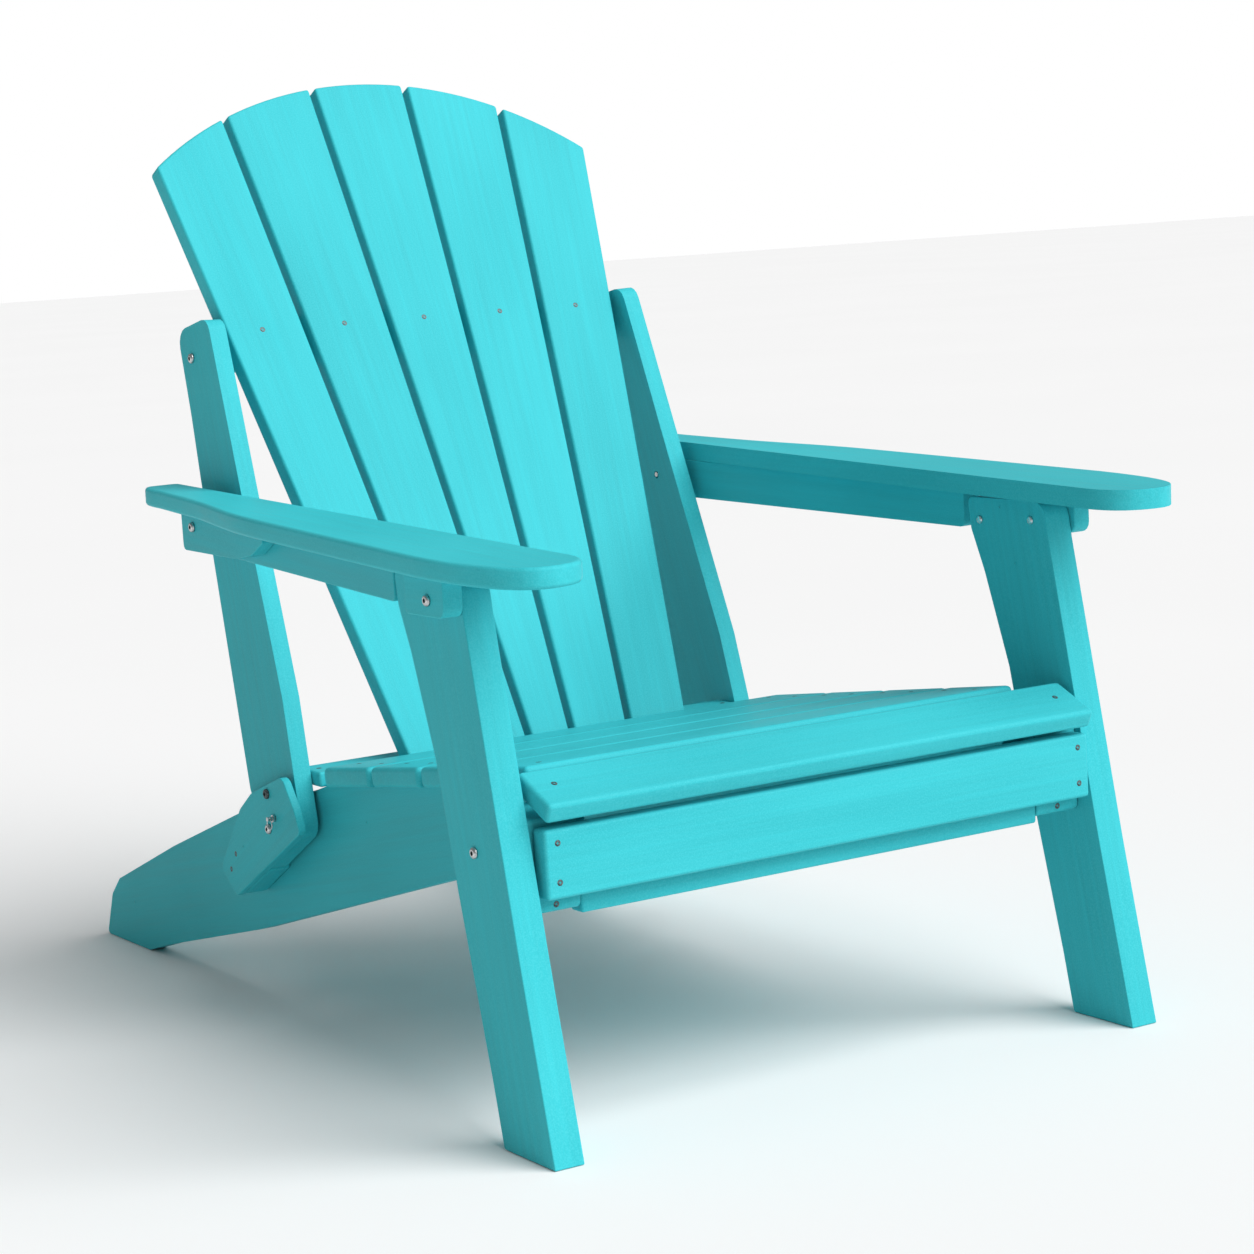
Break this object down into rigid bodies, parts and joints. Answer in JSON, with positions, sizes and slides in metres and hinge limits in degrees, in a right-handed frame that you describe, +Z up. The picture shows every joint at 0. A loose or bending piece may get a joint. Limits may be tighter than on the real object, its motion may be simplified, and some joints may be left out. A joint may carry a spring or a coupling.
{
  "type": "adirondack chair",
  "caption": "Folding slatted garden chair with a fanned high back, broad arms, a sloping seat and hinged front legs.",
  "frame": {"origin": "on the ground, under the middle of the chair's box", "axes": "+Z up, the sitter looks along -Y, +X to the right for a viewer in front of the chair; X = 0 is the plane of symmetry"},
  "size_m": [0.714, 1.1264, 0.9],
  "materials": {
    "paint": "satin turquoise paint over smooth timber",
    "steel": "zinc-plated fastener"
  },
  "bodies": {
    "seat": {"apron": "paint", "back_pivot_bolt_l": "steel", "back_pivot_bolt_r": "steel", "cheek_l": "paint", "cheek_r": "paint", "front_slat": "paint", "leg_pivot_bolt_l": "steel", "leg_pivot_bolt_r": "steel", "pivot_block_l": "paint", "pivot_block_r": "paint", "rear_stop": "paint", "seat_slat_1": "paint", "seat_slat_2": "paint", "seat_slat_3": "paint", "seat_slat_4": "paint", "spacer_l": "paint", "spacer_r": "paint", "stretcher": "paint", "stringer_l": "paint", "stringer_r": "paint", "travel_bolt_l": "steel", "travel_bolt_r": "steel"},
    "back": {"back_rail_bolt_l": "steel", "back_rail_bolt_r": "steel", "back_rail_lower": "paint", "back_rail_upper": "paint", "back_slat_1": "paint", "back_slat_2": "paint", "back_slat_3": "paint", "back_slat_4": "paint", "back_slat_5": "paint", "post_l": "paint", "post_r": "paint"},
    "leg_left": {"arm_front_cap_l": "steel", "leg_l": "paint", "leg_top_cap_l": "steel"},
    "leg_right": {"arm_front_cap_r": "steel", "leg_r": "paint", "leg_top_cap_r": "steel"},
    "arm_left": {"arm_front_block_l": "paint", "arm_front_bolt_l": "steel", "arm_l": "paint", "arm_rail_l": "paint", "arm_rear_block_l": "paint", "arm_rear_bolt_l": "steel"},
    "arm_right": {"arm_front_block_r": "paint", "arm_front_bolt_r": "steel", "arm_r": "paint", "arm_rail_r": "paint", "arm_rear_block_r": "paint", "arm_rear_bolt_r": "steel"},
    "pin_left": {"pull_pin_l": "steel"},
    "pin_right": {"pull_pin_r": "steel"},
    "ring_left": {"pull_ring_l": "steel"},
    "ring_right": {"pull_ring_r": "steel"}
  },
  "joints": [
    {"name": "back_fold", "type": "hinge", "parent": "seat", "child": "back", "pos_m": [0, 0.05442, 0.226], "axis": [-1, 0, 0], "range_deg": [0, 55]},
    {"name": "leg_fold_left", "type": "hinge", "parent": "seat", "child": "leg_left", "pos_m": [-0.303, -0.42558, 0.245], "axis": [-1, 0, 0], "range_deg": [0, 63]},
    {"name": "arm_fold_left", "type": "hinge", "parent": "back", "child": "arm_left", "pos_m": [-0.282, 0.13142, 0.479], "axis": [-1, 0, 0], "range_deg": [-50, 0]},
    {"name": "pin_pull_left", "type": "slide", "parent": "seat", "child": "pin_left", "axis": [-1, 0, 0], "range_m": [0, 0.03]},
    {"name": "ring_swing_left", "type": "hinge", "parent": "pin_left", "child": "ring_left", "pos_m": [-0.2788, 0.04242, 0.204], "axis": [0, 1, 0], "range_deg": [0, 90]},
    {"name": "leg_fold_right", "type": "hinge", "parent": "seat", "child": "leg_right", "pos_m": [0.303, -0.42558, 0.245], "axis": [-1, 0, 0], "range_deg": [0, 63]},
    {"name": "arm_fold_right", "type": "hinge", "parent": "back", "child": "arm_right", "pos_m": [0.282, 0.13142, 0.479], "axis": [-1, 0, 0], "range_deg": [-50, 0]},
    {"name": "pin_pull_right", "type": "slide", "parent": "seat", "child": "pin_right", "axis": [1, 0, 0], "range_m": [0, 0.03]},
    {"name": "ring_swing_right", "type": "hinge", "parent": "pin_right", "child": "ring_right", "pos_m": [0.2788, 0.04242, 0.204], "axis": [0, -1, 0], "range_deg": [0, 90]}
  ],
  "couplings": [
    {"joint": "leg_fold_left", "follows": "back_fold", "ratio": 1.141},
    {"joint": "arm_fold_left", "follows": "back_fold", "ratio": -0.909},
    {"joint": "leg_fold_right", "follows": "back_fold", "ratio": 1.141},
    {"joint": "arm_fold_right", "follows": "back_fold", "ratio": -0.909}
  ]
}
